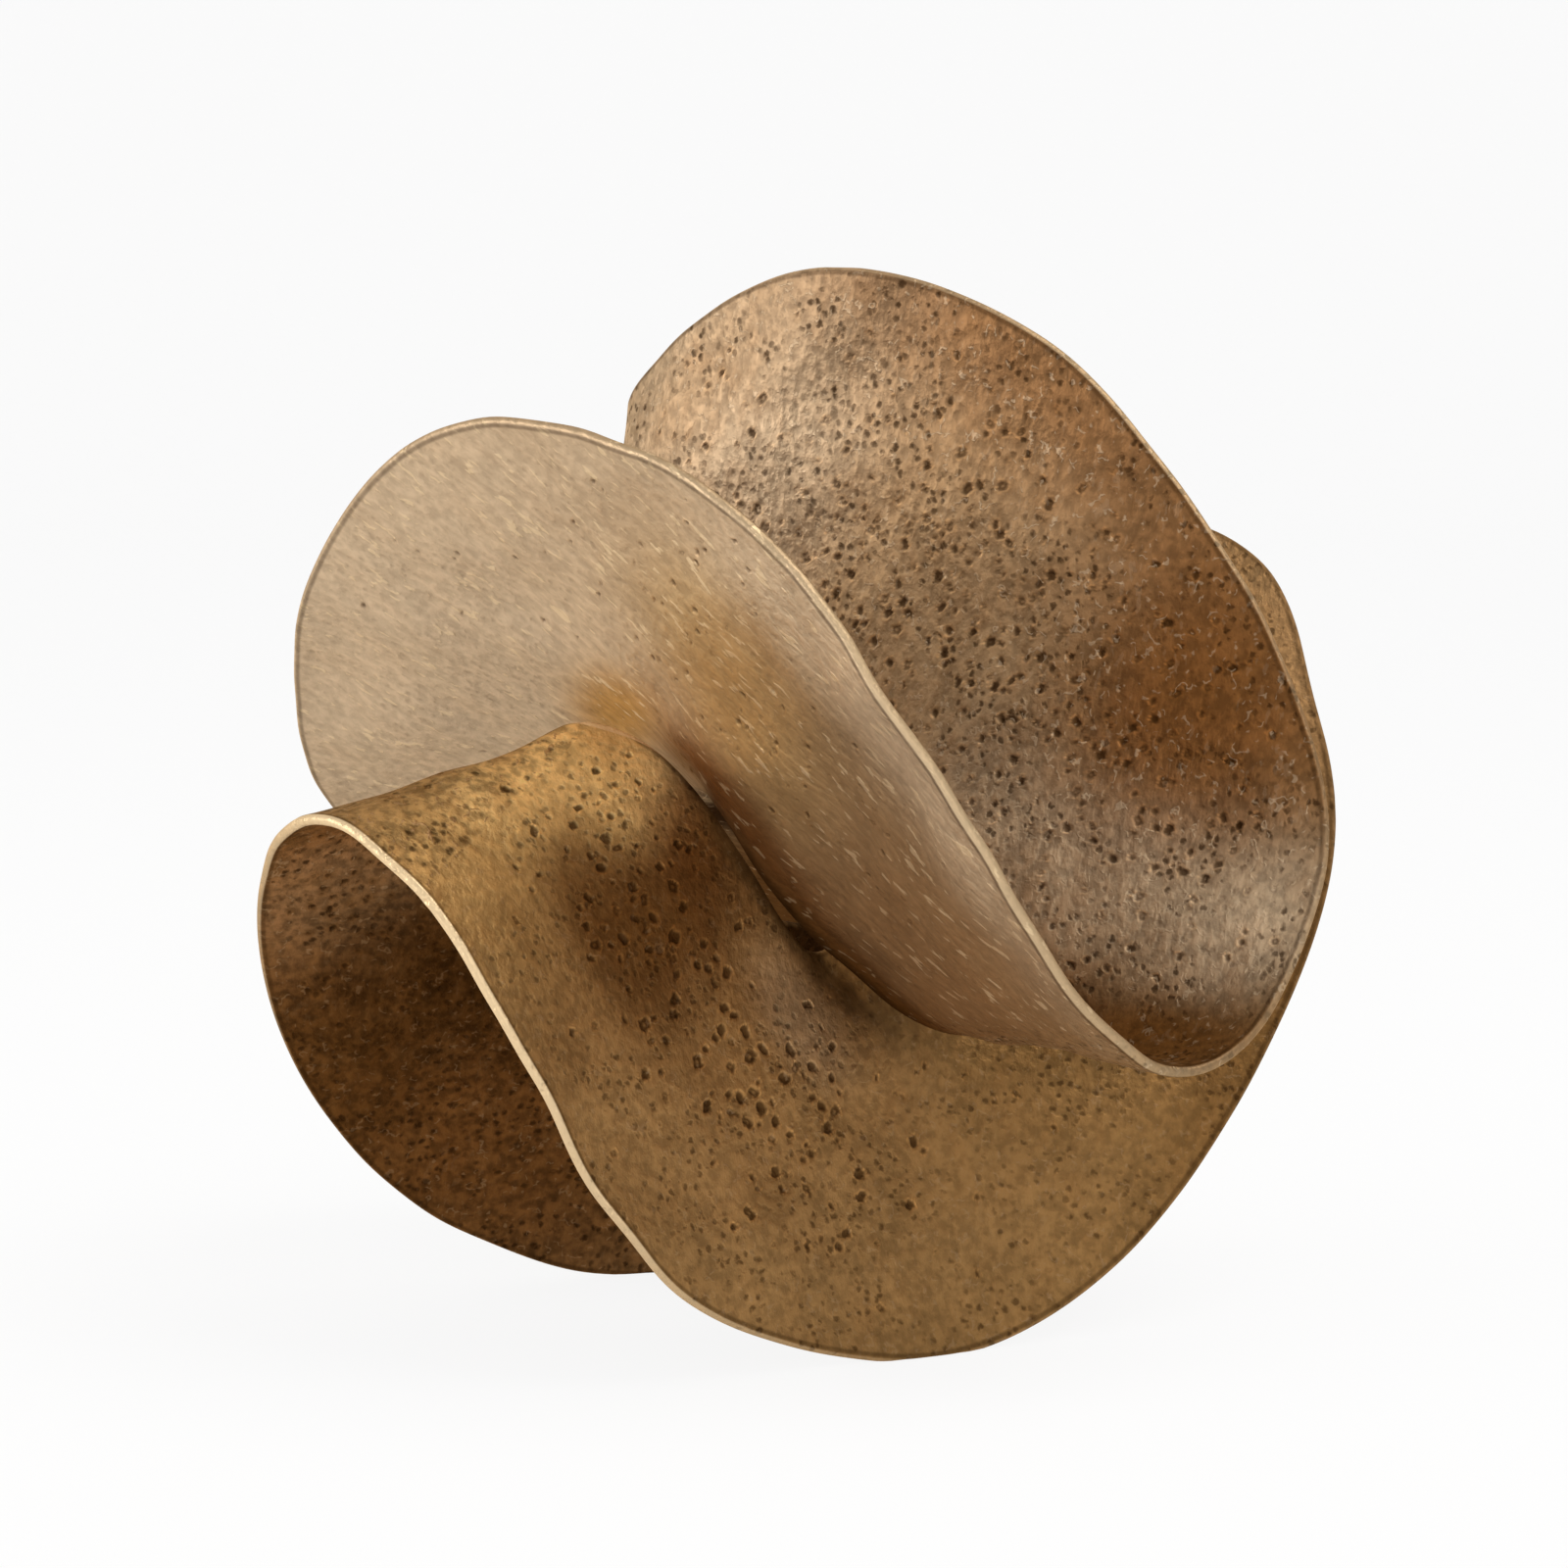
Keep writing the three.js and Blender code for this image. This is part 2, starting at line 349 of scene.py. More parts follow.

# Where each tone lies, one face after the other: degrees round the loop,
# share across the sheet, half width of both, tone and strength. Most are the patina's
# own tones; the entries marked below are painted shade, painted shadow or painted light.
TONES_AND_PAINTED_LIGHT = {
    FACE: (
        (180, 0.5, 62, 1.5, OLIVE, 1.0),
        (-2, 0.7, 26, 1.2, PALE, 1.0),
        (-36, 0.5, 13, 0.9, UMBER, 0.95),
        (28, 0.5, 10, 1.0, CAMEL, 0.3),
        (23, 0.45, 8, 0.35, GOLD, 0.55),
        (42, 0.4, 8, 0.6, TAN, 0.7),
        (29, 0.97, 16, 0.2, PALE, 0.8),
        (5, 0.25, 7, 0.12, AMBER, 0.9),
        # Painted shade along the upper left lobe's inner rim, at the slit and under the crest.
        (13, 0.12, 7, 0.08, RUSSET, 0.8),
        (22, 0.07, 14, 0.15, RUSSET, 0.9),
        (36, 0.03, 12, 0.08, UMBER, 0.9),
        (44, 0.02, 8, 0.09, UMBER, 0.9),
        (6, 0.02, 14, 0.1, UMBER, 0.7),
        (190, 0.75, 9, 0.3, BRONZE, 0.5),
        (175, 0.98, 10, 0.14, UMBER, 0.45),
        (208, 0.6, 15, 0.5, BRONZE, 0.9),
        (193, 0.3, 7, 0.24, BRONZE, 0.9),
        # Painted light: a lighter patch on the front lobe that lifts the band's shadow by the
        # slit.
        (201, 0.2, 6, 0.14, CAMEL, 0.9),
        # Painted shade on the front lobe under the band's edge.
        (190, 0.08, 6, 0.1, UMBER, 0.6),
        # The honey entries are the crest's gold with a painted highlight on it.
        (229, 0.3, 6, 0.4, HONEY_HIGHLIGHT, 0.9),
        (229, 0.8, 7, 0.4, GOLD, 0.5),
        (222, 0.14, 5, 0.2, HONEY_HIGHLIGHT, 0.95),
        # Painted shade below the golden crest: the umber at 221.5, 217 and 214 degrees.
        (221.5, 0.52, 3.5, 0.17, UMBER, 0.6),
        (217, 0.42, 4, 0.24, UMBER, 0.85),
        (216, 0.1, 4, 0.14, RUST, 0.7),
        (214, 0.22, 4, 0.16, UMBER, 0.7),
        (212, 0.05, 6, 0.09, UMBER, 0.55),
        (160, 0.9, 12, 0.4, TAN, 0.5),
        # Painted shadow: dark lines along the slit on both inner rims, and along the band's
        # edge where it overhangs the front lobe.
        (207, 0.0, 11, 0.04, SOOT_AND_SHADOW, 0.9),
        (30, 0.0, 20, 0.04, SOOT_AND_SHADOW, 0.95),
        (-22, 0.08, 11, 0.2, SOOT_AND_SHADOW, 0.95),
        (195, 0.02, 3, 0.05, SOOT_AND_SHADOW, 0.85),
        (191.5, 0.1, 2, 0.07, SOOT_AND_SHADOW, 0.8),
        (189, 0.2, 2, 0.08, SOOT_AND_SHADOW, 0.65),
        (187, 0.3, 2, 0.08, SOOT_AND_SHADOW, 0.45),
    ),
    REVERSE: (
        (114, 0.6, 22, 1.2, SAND, 0.85),
        (110, 0.76, 5, 0.2, TAN, 0.35),
        (90, 0.75, 10, 0.9, TAN, 0.8),
        (90, 0.35, 12, 0.34, CAMEL, 0.8),
        (104, 0.48, 6, 0.3, PALE, 0.6),
        (79, 0.22, 6, 0.22, PALE, 0.6),
        (72, 0.4, 6, 0.4, PALE, 0.8),
        (78, 0.77, 6.5, 0.36, RUSSET, 0.95),
        (90, 1.0, 14, 0.2, RUSSET, 0.6),
        (74, 0.92, 5, 0.22, RUSSET, 0.3),
        (67, 0.8, 4, 0.3, PALE, 0.8),
        # Painted shade deep in the channel by the right fold.
        (60, 0.7, 4, 0.5, UMBER, 0.95),
        (56, 0.5, 4, 0.9, UMBER, 0.9),
        # Partly the lower left lobe's dark patina, partly painted shade under the arch: the
        # umber here and the soot at 257 degrees.
        (260, 0.6, 26, 1.2, UMBER, 1.0),
        (247, 0.85, 8, 0.4, RUSSET, 0.9),
        (249, 0.75, 5, 0.35, TAN, 0.4),
        (257, 0.6, 8, 0.4, SOOT_AND_SHADOW, 0.55),
        (268, 0.75, 6, 0.3, RUSSET, 0.5),
        (277, 0.03, 10, 0.15, SOOT_AND_SHADOW, 0.9),
    ),
}
UNDERCOAT = (0.26, 0.15, 0.065)

# How bright each rim is, partly polished metal and partly a painted highlight: degrees
# round the loop, half width and gain. A gain over 1 carries the shine on over the face.
RIM_POLISH_AND_HIGHLIGHT = {
    "outer": ((0, 400, 0.12), (38, 22, 0.35), (90, 14, 0.35), (228, 22, 0.85)),
    # The inner rim's shine at the left fold is a painted highlight.
    "inner": ((228, 5, 2.6),),
}


def rim_shine(angle, across):
    outer, inner = (
        sum(gain * np.exp(-(degrees_from(angle, place) / spread) ** 2)
            for place, spread, gain in RIM_POLISH_AND_HIGHLIGHT[rim])
        for rim in ("outer", "inner"))
    return np.where(across > 0.5, outer, inner)


def patina_and_painted_light(angle, across, lift):
    """The colour of patina and painted light, and an alpha of 1, at each place on the sheet.
    """
    faces = []
    for side in (FACE, REVERSE):
        colour = np.broadcast_to(UNDERCOAT, (*angle.shape, 3))
        for place, middle, spread, breadth, tone, strength in TONES_AND_PAINTED_LIGHT[side]:
            along = degrees_from(angle, place) / spread
            reach = along ** 2 + ((across - middle) / breadth) ** 2
            cover = strength * np.exp(-reach ** 1.5)[..., None]
            colour = colour * (1 - cover) + np.array(tone) * cover
        faces.append(colour)
    share = (lift[..., None] + 1) / 2
    colour = faces[0] * share + faces[1] * (1 - share)
    return np.concatenate([colour, np.ones_like(share)], axis=-1).astype(np.float32)


# Pits are blow holes and dots struck with a punch: the depth as a share of the radius,
# the least metal between two pits in mm, and how near a rim they come across the sheet.
PIT_DEPTH = 0.42
PIT_ROOM = 0.3
PIT_FREE_RIM = 0.05

# How far they are out of round, how wavy their outline is, and how their walls curve.
OUT_OF_ROUND = 1.6
WAVINESS = 0.2
WAVES = 4.5
WALL_CURVE = 0.6
# The share of dots from a hollow punch, how much of their middle it leaves, and that
# middle's size as a share of the radius.
HOLLOW_PUNCHED = 0.3
MIDDLE_LEFT = 0.9
MIDDLE_SIZE = 0.5
# The burr: its height in mm, its place and width in radii from the middle, and the share
# of it on its low side. The stain's reach is in radii too.
BURR_HEIGHT = 0.1
BURR_AT = 1.2
BURR_WIDTH = 0.22
BURR_LOW_SIDE = 0.35
STAIN_REACH = 1.9
# How many mesh points a pit may reach for each mm of its radius, and from what depth in
# mm and share of a burr it makes the mesh fine.
REACH_PER_MM = 16
LEAST_DEPTH = 0.01
LEAST_BURR = 0.3


def scatter(side, patches):
    """Pits at random in each patch: their place, side, radius and depth.

    A patch is its degrees round the loop, share across the sheet, spread of both,
    number of tries, and smallest and largest radius in mm.
    """
    pits, centres = [], []
    for place, middle, spread, breadth, count, small, large in patches:
        for _ in range(count):
            angle = math.radians(place + spread * luck.normal())
            across = middle + breadth * luck.normal()
            radius = luck.uniform(small, large)
            if not PIT_FREE_RIM < across < 1 - PIT_FREE_RIM:
                continue
            centre = sheet_point(np.array([angle]), np.array([across]))[0]
            if all(np.linalg.norm(centre - other) > radius + room for other, room in centres):
                centres.append((centre, radius + PIT_ROOM))
                pits.append((math.degrees(angle), across, side, radius, PIT_DEPTH * radius))
    return pits


def sink_pits(pits, angle, across, lift, points):
    """Each point's depth in a pit in mm, and its share of a burr and of a stain."""
    rows, columns = angle.shape
    depth, lip, stain = (np.zeros(angle.shape) for _ in range(3))
    for pit_angle, pit_across, side, radius, deep in pits:
        column = int(np.argmin(np.abs(across[0] - pit_across) + np.abs(lift[0] - side)))
        row = int(np.argmin(np.abs(angle[:, column] - math.radians(pit_angle))))
        reach = int(radius * REACH_PER_MM) + 2
        low, high = max(row - reach, CELL_SPLIT), min(row + reach, rows - CELL_SPLIT)
        left, right = column - reach, column + reach
        if left < 0 or right >= columns or low >= high:
            continue
        window = (slice(low, high), slice(left, right))
        offset = (points[window] - points[row, column]) / radius
        squash, burr = luck.normal(size=3), luck.normal(size=3)
        squash, burr = squash / np.linalg.norm(squash), burr / np.linalg.norm(burr)

        # How far each point lies from the pit's middle, in radii.
        flatter = luck.uniform(0, OUT_OF_ROUND) * (offset @ squash) ** 2
        away = np.sqrt((offset ** 2).sum(-1) + flatter)
        away = away * (1 + WAVINESS * np.sin(offset @ burr * WAVES + 2 * away))

        # The hollow, the burr on one side of it, and the stain round both.
        hollow = np.clip(1 - away ** 2, 0, 1) ** WALL_CURVE
        middle = luck.choice((0, MIDDLE_LEFT), p=(1 - HOLLOW_PUNCHED, HOLLOW_PUNCHED))
        hollow = hollow * (1 - middle * np.exp(-(away / MIDDLE_SIZE) ** 2))
        one_sided = BURR_LOW_SIDE + (1 - BURR_LOW_SIDE) * np.clip(offset @ burr, 0, 1)
        ring = np.exp(-((away - BURR_AT) / BURR_WIDTH) ** 2) * one_sided
        depth[window] = np.maximum(depth[window], hollow * deep)
        lip[window] = np.maximum(lip[window], ring)
        stain[window] = np.maximum(stain[window], np.exp(-(away / STAIN_REACH) ** 2))
    return depth, lip * (depth == 0), stain


def split_cells(touched, along_cells):
    """The cells that a pit touches. The end rows stay whole, to meet the weld."""
    rows, columns = touched.shape
    split = np.zeros((along_cells, columns // CELL_SPLIT), bool)
    for i in range(CELL_SPLIT + 1):
        for j in range(CELL_SPLIT + 1):
            taken = np.roll(touched, -j, axis=1)[i:i + rows - 1:CELL_SPLIT, ::CELL_SPLIT]
            split |= taken[:along_cells]
    split[0] = split[-1] = False
    return split


def number_points(split, shape):
    """The lattice points that the mesh uses, and each point's number."""
    cell = CELL_SPLIT
    columns = shape[1]
    numbers = np.full(shape, -1)
    numbers[::cell, ::cell] = 0
    for row, column in np.argwhere(split) * cell:
        numbers[row:row + cell + 1, np.arange(column, column + cell + 1) % columns] = 0
    used = tuple(np.argwhere(numbers == 0).T)
    numbers[used] = np.arange(len(used[0]))
    return used, numbers


def face_paths(split):
    """The corners of each face, as rows and columns of the lattice.

    There are whole cells, the small cells of the split ones, and the whole cells that
    share an edge with a split cell and take its points into their outline.
    """
    cell = CELL_SPLIT
    grid_rows, grid_columns = split.shape
    beside = np.roll(split, 1, axis=1) | np.roll(split, -1, axis=1)
    beside[1:] |= split[:-1]
    beside[:-1] |= split[1:]
    square = np.array([(0, 0), (1, 0), (1, 1), (0, 1)])
    small = np.argwhere(np.ones((cell, cell)))
    whole = np.argwhere(~split & ~beside)[:, None] * cell + square * cell
    parts = np.argwhere(split)[:, None, None] * cell + small[:, None] + square
    paths = whole.tolist() + parts.reshape(-1, 4, 2).tolist()
    for row, column in np.argwhere(~split & beside).tolist():
        r, c = row * cell, column * cell
        left, right = split[row, column - 1], split[row, (column + 1) % grid_columns]
        below = row > 0 and split[row - 1, column]
        above = row + 1 < grid_rows and split[row + 1, column]
        path = [(r + i, c) for i in (range(cell) if left else (0,))]
        path += [(r + cell, c + j) for j in (range(cell) if above else (0,))]
        path += [(r + cell - i, c + cell) for i in (range(cell) if right else (0,))]
        path += [(r, c + cell - j) for j in (range(cell) if below else (0,))]
        paths.append(path)
    return paths


def end_paths(rows, columns):
    """The flat ends, where the weld joins: strips from one face to the other."""
    cell = CELL_SPLIT
    paths = []
    for row, way in ((0, 1), (rows - 1, -1)):
        for k in range(-RIM_CELLS // 2, FACE_CELLS + RIM_CELLS // 2):
            near, next_near = k * cell, (k + 1) * cell
            strip = [near, next_near, -RIM_CELLS * cell - next_near, -RIM_CELLS * cell - near]
            strip = dict.fromkeys(column % columns for column in strip)
            paths.append([(row, column) for column in strip][::way])
    return paths


def sheet_object(name, start, end, along_cells, pits):
    """One closed piece of the ribbon from start to end, each a (fold, mm past it)."""
    across, lift, push = ring_columns()
    ends = []
    for fold, distance in (start, end):
        fold_angle = np.full(across.shape, math.radians(fold))
        ends.append(fold_angle + distance / sheet_frame(fold_angle, across)[2])
    share = np.linspace(0, 1, along_cells * CELL_SPLIT + 1)[:, None]
    angle = ends[0] * (1 - share) + ends[1] * share
    across, lift, push = (
        np.broadcast_to(column, angle.shape) for column in (across, lift, push))
    normal, outward, _ = sheet_frame(angle, across)
    points = sheet_point(angle, across)
    points = points + normal * swell(points)[..., None]
    face_out = normal * lift[..., None] + outward * push[..., None]
    points = points + face_out * HALF_SHEET
    depth, lip, stain = sink_pits(pits, angle, across, lift, points)
    points = points + face_out * (lip * BURR_HEIGHT - depth)[..., None]

    # How far a point lies from the rims, in mm. On the rims themselves it is negative.
    edge = np.minimum(across, 1 - across) * (sheet_line(angle)[2] - SHEET)
    edge = np.where(push == 0, edge, -np.abs(push) * HALF_SHEET)

    # Which way the metal faces. The two end rows face as the weld beside them does.
    slope = swell_slope(points)
    slope = slope - normal * (slope * normal).sum(-1)[..., None]
    facing = face_out - slope * lift[..., None]
    down = points[2:] - points[:-2]
    round_it = np.roll(points, -1, axis=1) - np.roll(points, 1, axis=1)
    bent = np.cross(down, round_it[1:-1])
    facing[1:-1] = bent * np.sign((bent * face_out[1:-1]).sum(-1))[..., None]
    facing = facing / np.linalg.norm(facing, axis=-1)[..., None]

    # Stand the loop up, in metres, and grind the flats: nothing lies outside the box
    # of the cast solids, and so the lowest rims end in flats on the table.
    turns = Euler([math.radians(turn) for turn in LOOP_TURNS], "ZYX")
    stand = np.array(turns.to_matrix())
    points = points @ stand.T * MM + np.array(LOOP_CENTRE)
    facing = facing @ stand.T
    points = np.clip(points, np.array(cad_low), np.array(cad_high))

    # A fine mesh where there are pits, and a coarse one elsewhere.
    rows, columns = angle.shape
    split = split_cells((depth > LEAST_DEPTH) | (lip > LEAST_BURR), along_cells)
    used, numbers = number_points(split, angle.shape)
    paths, strips = face_paths(split), end_paths(rows, columns)
    faces = [[numbers[r, c % columns] for r, c in path] for path in paths + strips]
    mesh = bpy.data.meshes.new(name)
    mesh.from_pydata(points[used].tolist(), [], faces)
    mesh.shade_smooth()
    for face in mesh.polygons[len(paths):]:
        face.use_smooth = False
    mesh.normals_split_custom_set_from_vertices(facing[used].tolist())

    # The flat pattern that the finish is baked on: along the ribbon and round its edge.
    places = [place for path in paths for place in path]
    places += [(0, 0) for path in strips for _ in path]
    baked = mesh.uv_layers.new(name="OFBake")
    spread = np.array(places, float) / (rows, columns)
    baked.data.foreach_set("uv", spread.astype(np.float32).ravel())
    shine = rim_shine(angle, across)
    for label, values in (
            ("pit", depth), ("lip", lip), ("stain", stain), ("edge", edge), ("shine", shine)):
        layer = mesh.attributes.new(label, "FLOAT", "POINT")
        layer.data.foreach_set("value", values[used].astype(np.float32))
    layer = mesh.attributes.new("patina_and_painted_light", "FLOAT_COLOR", "POINT")
    layer.data.foreach_set("color", patina_and_painted_light(angle, across, lift)[used].ravel())
    piece = bpy.data.objects.new(name, mesh)
    bpy.context.scene.collection.objects.link(piece)
    return piece


BARE_BRASS = (0.80, 0.60, 0.36)
BRASS_AT_GRAZING = (1.0, 0.80, 0.58)
# How much brighter the patina is on a burr: partly worn thin, partly a painted glint.
WORN_AND_GLINT = (2.2, 2.1, 1.9)

# How often each pattern of the finish repeats in a metre.
CLOUDS = 60
GRAIN = 330
STREAKS = 420
RUSTY_PATCHES = 130
POCKS = 330
POCK_CLUSTERS = 50
POCK_DRIFT = 500
FLECKS = 430
FLECK_CLUSTERS = 70
WORMS = 230
WORM_CLUSTERS = 340
# How far the pocks' outlines stray and how high the finest relief is, in metres, and how
# dark the bottoms of pits and pocks are.
POCK_STRAY = 0.0022
RELIEF = 0.0005
SOOTY_BOTTOM = 0.75


def brass(name, brush_way, streaky, mottle, flecks, fleck_tone, curly, pocks, lips, roughness):
    """Patinated cast brass, drawn with the brush along brush_way, a direction in space.

    Streaky, mottle, flecks, pocks and lips say how strongly each shows. A curly of 0
    gives flecks drawn out by the brush, and of 1 worm-like ones.
    """
    material = bpy.data.materials.new(name)
    nodes = Nodes(material)
    place = nodes.add("TexCoord").from_output("Object")
    tone = nodes.add("Attribute", {"attribute_name": "patina_and_painted_light"})
    pit, lip, stain, edge, shine = (
        nodes.add("Attribute", {"attribute_name": label}).from_output("Fac")
        for label in ("pit", "lip", "stain", "edge", "shine"))

    def noise(scale, detail, at=place):
        return nodes.add("TexNoise", {}, {"Vector": at, "Scale": scale, "Detail": detail})

    # Cloudy mottling, rusty patches, and short strokes along the brush's way.
    turn = Vector(brush_way).to_track_quat("Z", "Y").to_euler()
    drawn = nodes.add("Mapping", {"vector_type": "TEXTURE"}, {
        "Vector": place, "Rotation": turn, "Scale": (1, 1, 1 + 3 * streaky)})
    clouds = nodes.ease(noise(CLOUDS, 4), 0.3, 0.7)
    grain = nodes.ease(noise(GRAIN, 4), 0.34, 0.66)
    streaks = nodes.ease(noise(STREAKS, 3, drawn), 0.3, 0.7)
    shade = 1 + 0.7 * mottle * (clouds - 0.5) + 1.3 * mottle * (grain - 0.5)
    shade = shade + 0.22 * streaky * (streaks - 0.5)
    shade = nodes.add("CombineColor", {}, {"Red": shade, "Green": shade, "Blue": shade})
    colour = nodes.blend("MULTIPLY", 1.0, tone, shade)
    rusty = nodes.ease(noise(RUSTY_PATCHES, 3, drawn), 0.5, 0.72)
    colour = nodes.blend("MIX", rusty * mottle * 0.5, colour, RUST)

    # Pocks smaller than the modelled pits: ragged dots in clusters.
    drift = nodes.add("TexNoise", {}, {"Vector": place, "Scale": POCK_DRIFT})
    drift = nodes.add("VectorMath", {"operation": "SCALE"}, {
        0: drift.from_output("Color"), "Scale": POCK_STRAY})
    ragged = nodes.add("VectorMath", {"operation": "ADD"}, {0: place, 1: drift})
    cells = nodes.add("TexVoronoi", {}, {"Vector": ragged, "Scale": POCKS})
    cluster = nodes.ease(noise(POCK_CLUSTERS, 2), 0.36, 0.6)
    pock = (1 - nodes.ease(cells, 0.12, 0.42)) * cluster * pocks

    # Bright flecks, partly worn spots and partly painted glints, the strongest where the
    # patina is thin.
    strewn = nodes.ease(noise(FLECK_CLUSTERS, 1), 0.35, 0.65)
    fleck = nodes.ease(noise(FLECKS, 2, drawn) + 0.08 * strewn, 0.66, 0.72)
    bend = nodes.add("Math", {"operation": "ABSOLUTE"}, {0: noise(WORMS, 2) - 0.5})
    worm = 1 - nodes.ease(bend, 0.012, 0.045)
    worm = worm * nodes.ease(noise(WORM_CLUSTERS, 1), 0.56, 0.63)
    thin = nodes.ease(tone.from_output("Fac"), -0.05, 0.2)
    fleck = nodes.add("Mix", {}, {0: curly, 2: fleck, 3: worm}) * thin * flecks

    # Pits and pocks hold dark patina. The burrs and flecks are brighter, partly worn and
    # partly painted glints.
    colour = nodes.blend("MIX", stain * mottle, colour, UMBER)
    colour = nodes.blend("MIX", pock * SOOTY_BOTTOM, colour, SOOT_AND_SHADOW)
    colour = nodes.blend("MIX", nodes.ease(pit, 0.03, 0.5) * SOOTY_BOTTOM, colour, SOOT_AND_SHADOW)
    colour = nodes.blend("MIX", fleck, colour, fleck_tone)
    worn_and_glint = nodes.blend("MULTIPLY", 1.0, colour, WORN_AND_GLINT)
    colour = nodes.blend("MIX", lip * lips, colour, worn_and_glint)

    # The rims: filed and polished along the middle, partly a painted highlight, and darker
    # on both sides, partly dark patina and partly painted shade.
    line = nodes.ease(edge, -1.1, -0.2) * (1 - nodes.ease(edge, 0.2, 1.1))
    polish_and_highlight = (1 - nodes.ease(edge - shine, -1.3, -0.8)) * nodes.ease(shine, 0, 1)
    colour = nodes.blend("MIX", line * 0.5, colour, SOOT_AND_SHADOW)
    colour = nodes.blend("MIX", polish_and_highlight, colour, BARE_BRASS)

    # Dark patina is matt oxide, and only the lighter tones let the metal shine through.
    sooty = 1 - nodes.ease(tone.from_output("Fac"), 0.03, 0.1)
    rough = roughness + 0.1 * clouds - 0.1 * streaks + 0.25 * pock - 0.1 * fleck
    rough = rough - 0.12 * polish_and_highlight + 0.3 * sooty
    height = 0.45 * grain + 0.5 * streaks + 0.6 * fleck - 1.3 * pock
    bump = nodes.add("Bump", {}, {"Height": height, "Strength": 0.6, "Distance": RELIEF})
    surface = nodes.add("BsdfPrincipled", {}, {
        "Base Color": colour,
        "Metallic": 0.6 - 0.6 * sooty,
        "Roughness": rough,
        "Specular Tint": BRASS_AT_GRAZING,
        "Specular IOR Level": 0.0,
        "Normal": bump,
    })
    nodes.add("OutputMaterial", {}, {"Surface": surface})
    return material


def finish_piece(piece, material, node):
    """Gives the piece its material, ties it to the part's one body, and hides the cast solid
    that it stands for.
    """
    piece.data.materials.append(material)
    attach(piece, "root")
    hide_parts(node)


DOWN_THE_BAND = (0.7, -0.31, -0.7)
LONG_LOBE_CELLS = 280
pits = scatter(FACE, (
    (14, 0.75, 9, 0.16, 40, 0.6, 1.1),
    (28, 0.55, 8, 0.2, 70, 0.6, 1.2),
    (0, 0.5, 24, 0.25, 20, 0.6, 0.9),
)) + scatter(REVERSE, ((0, 0.5, 24, 0.25, 90, 0.9, 1.5),))
start, end = (REAR_RIGHT_FOLD - FULL_TURN, WELD_WIDTH / 2), (RIGHT_FOLD, -WELD_WIDTH / 2)
piece = sheet_object("upper_left_lobe_cast", start, end, LONG_LOBE_CELLS, pits)
material = brass(
    "upper_left_brass", DOWN_THE_BAND, streaky=0.7, mottle=0.12, flecks=0.55,
    fleck_tone=BARE_BRASS, curly=0.0, pocks=0.2, lips=0.25, roughness=0.45)
finish_piece(piece, material, "upper_left_lobe")


# Upper right lobe: the large dish above the channel, sand cast in brass like the first
# and welded to it at the right fold. Its inside is thick with blow holes and punched
# dots, and was brushed reddish brown.
UPRIGHT = (0.15, 0, 1)
SHORT_LOBE_CELLS = 200
pits = scatter(REVERSE, (
    (88, 0.5, 8, 0.2, 330, 0.75, 1.6),
    (103, 0.6, 8, 0.22, 70, 0.6, 1.0),
    (76, 0.6, 6, 0.22, 150, 0.7, 1.4),
)) + scatter(FACE, ((90, 0.5, 22, 0.25, 80, 0.9, 1.5),))
start, end = (RIGHT_FOLD, WELD_WIDTH / 2), (REAR_LEFT_FOLD, -WELD_WIDTH / 2)
piece = sheet_object("upper_right_lobe_cast", start, end, SHORT_LOBE_CELLS, pits)
material = brass(
    "upper_right_brass", UPRIGHT, streaky=0.3, mottle=0.3, flecks=0.6,
    fleck_tone=PALE, curly=0.8, pocks=1.0, lips=0.8, roughness=0.5)
finish_piece(piece, material, "upper_right_lobe")


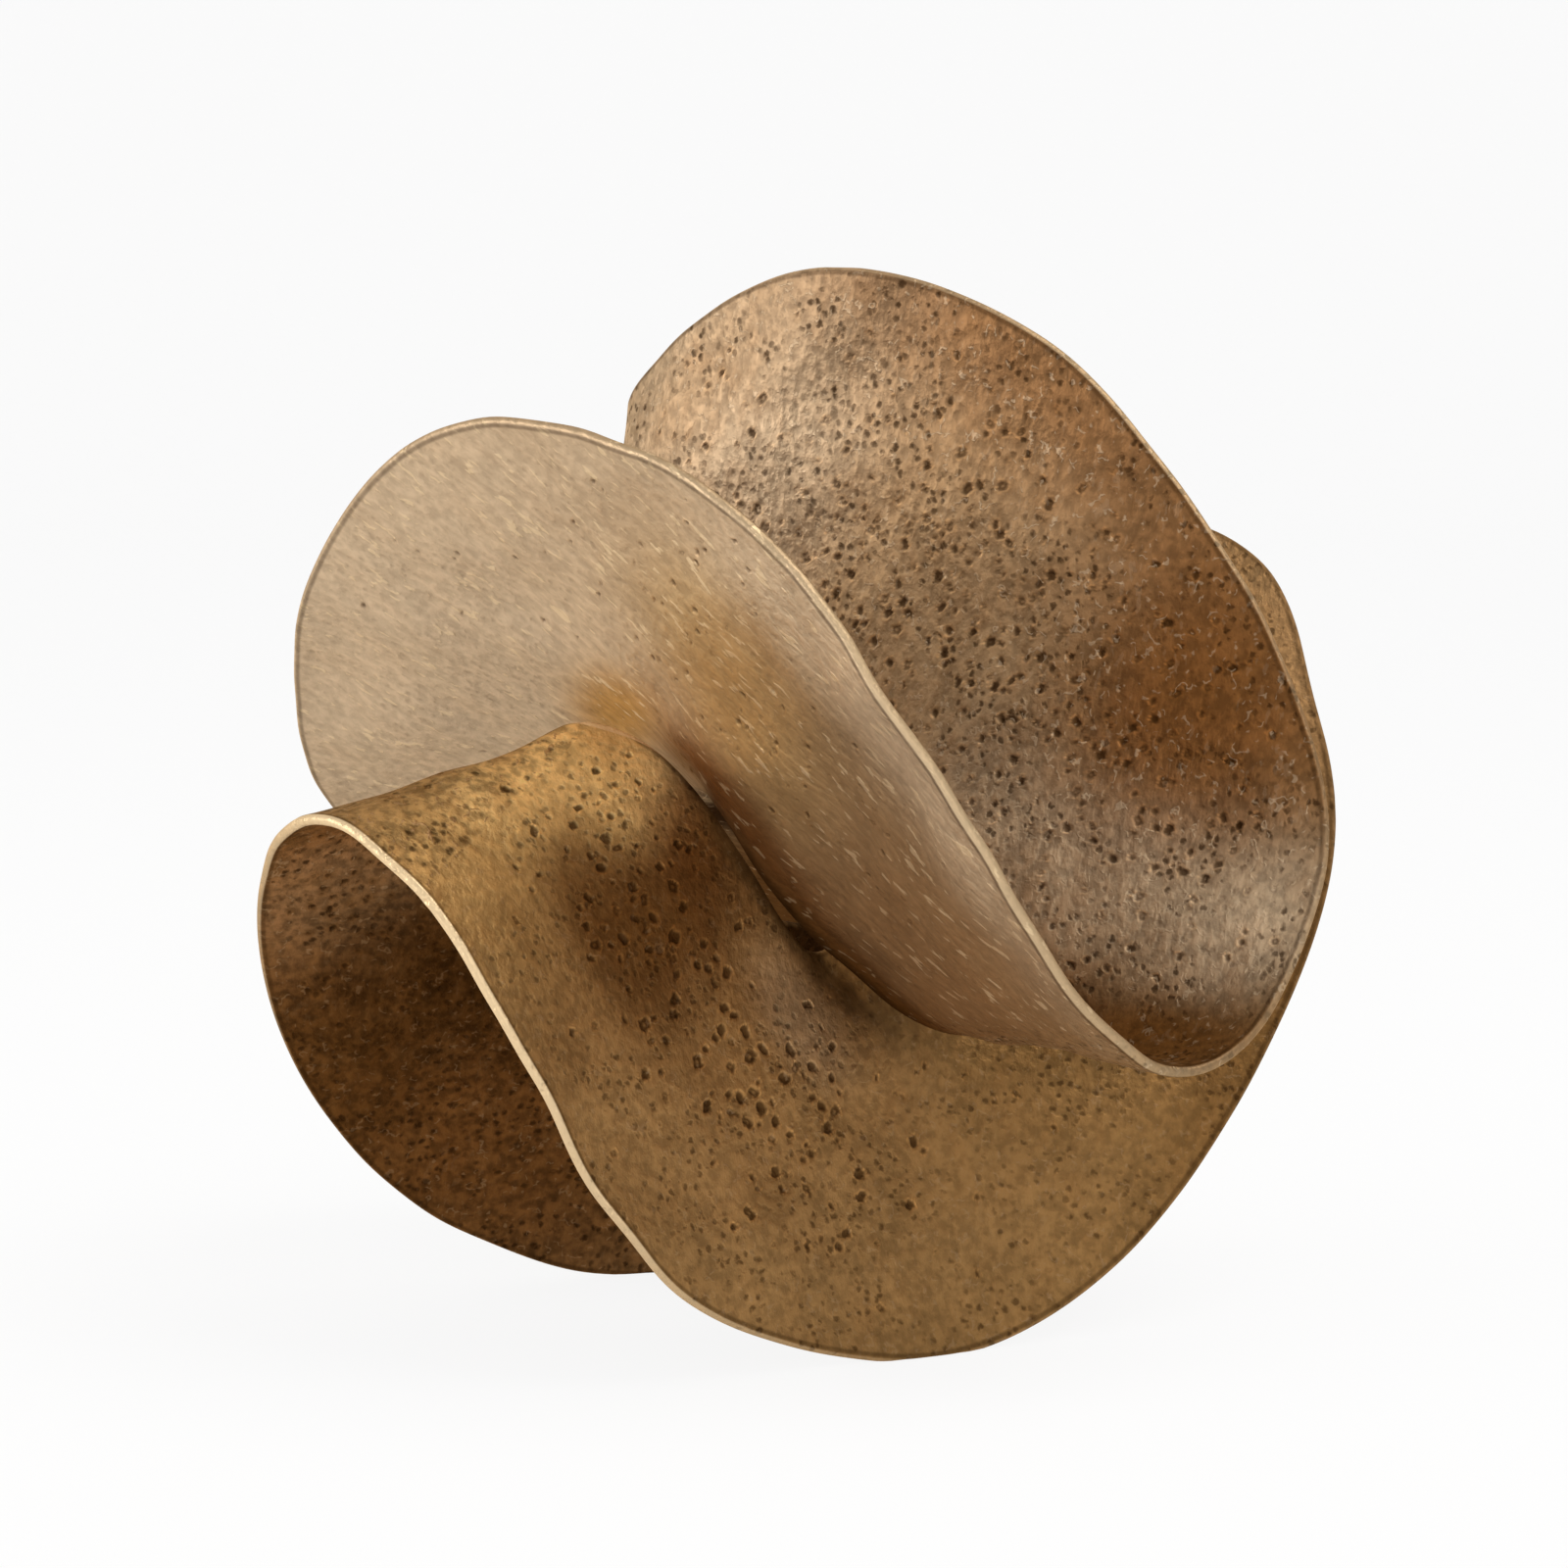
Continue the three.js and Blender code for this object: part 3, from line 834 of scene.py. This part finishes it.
# Front lobe: a brass casting from the rear left fold, under the channel, to the arch at
# the left, and welded at both ends. Its olive patina turns gold on the crest beside the
# arch, and a golden highlight is painted over that gold.
pits = scatter(FACE, (
    (209, 0.42, 7, 0.16, 150, 1.0, 2.0),
    (221, 0.3, 4, 0.22, 90, 0.8, 1.5),
    (195, 0.5, 14, 0.25, 60, 0.7, 1.2),
    (155, 0.5, 12, 0.25, 40, 0.8, 1.3),
)) + scatter(REVERSE, ((180, 0.5, 24, 0.25, 90, 0.9, 1.5),))
start, end = (REAR_LEFT_FOLD, WELD_WIDTH / 2), (LEFT_FOLD, -WELD_WIDTH / 2)
piece = sheet_object("front_lobe_cast", start, end, LONG_LOBE_CELLS, pits)
material = brass(
    "front_brass", UPRIGHT, streaky=0.35, mottle=0.25, flecks=0.3,
    fleck_tone=CAMEL, curly=0.8, pocks=0.8, lips=0.6, roughness=0.48)
finish_piece(piece, material, "front_lobe")


# Lower left lobe: the dark brass dish under the arch, with a rough casting skin. Its dark
# umber is partly the hot patina and partly painted shade under the arch. Its two welds
# close the ribbon, and it stands on the table with the front lobe.
pits = scatter(REVERSE, (
    (258, 0.7, 14, 0.2, 260, 0.7, 1.2),
)) + scatter(FACE, ((270, 0.5, 22, 0.25, 80, 0.9, 1.5),))
start, end = (LEFT_FOLD, WELD_WIDTH / 2), (REAR_RIGHT_FOLD, -WELD_WIDTH / 2)
piece = sheet_object("lower_left_lobe_cast", start, end, SHORT_LOBE_CELLS, pits)
material = brass(
    "lower_left_brass", UPRIGHT, streaky=0.35, mottle=0.5, flecks=0.9,
    fleck_tone=TAN, curly=0.8, pocks=1.0, lips=0.3, roughness=0.52)
finish_piece(piece, material, "lower_left_lobe")


# The four welds: beads of brass rod across the folds, 5 mm wide, ground flush with the
# sheet and patinated with it. A nick in the left one marks where its bead ends.
WELD_CELLS = 4
OUTER_EDGE = 1.0
MIDDLE_OF_RIM = 0
NICK = (LEFT_FOLD, OUTER_EDGE, MIDDLE_OF_RIM, 1.1, 0.6)
# Each weld's fold, the way of the brush, how mottled it is, and its nicks.
WELDS = {
    "right_fold_weld": (RIGHT_FOLD, DOWN_THE_BAND, 0.2, []),
    "rear_left_fold_weld": (REAR_LEFT_FOLD, UPRIGHT, 0.25, []),
    "left_fold_weld": (LEFT_FOLD, UPRIGHT, 0.25, [NICK]),
    "rear_right_fold_weld": (REAR_RIGHT_FOLD, UPRIGHT, 0.25, []),
}
for name, (fold, brush_way, mottle, nicks) in WELDS.items():
    start, end = (fold, -WELD_WIDTH / 2), (fold, WELD_WIDTH / 2)
    piece = sheet_object(name + "_ground", start, end, WELD_CELLS, nicks)
    material = brass(
        name + "_brass", brush_way, streaky=0.5, mottle=mottle, flecks=0.3,
        fleck_tone=TAN, curly=0.5, pocks=0.5, lips=0, roughness=0.46)
    finish_piece(piece, material, name)
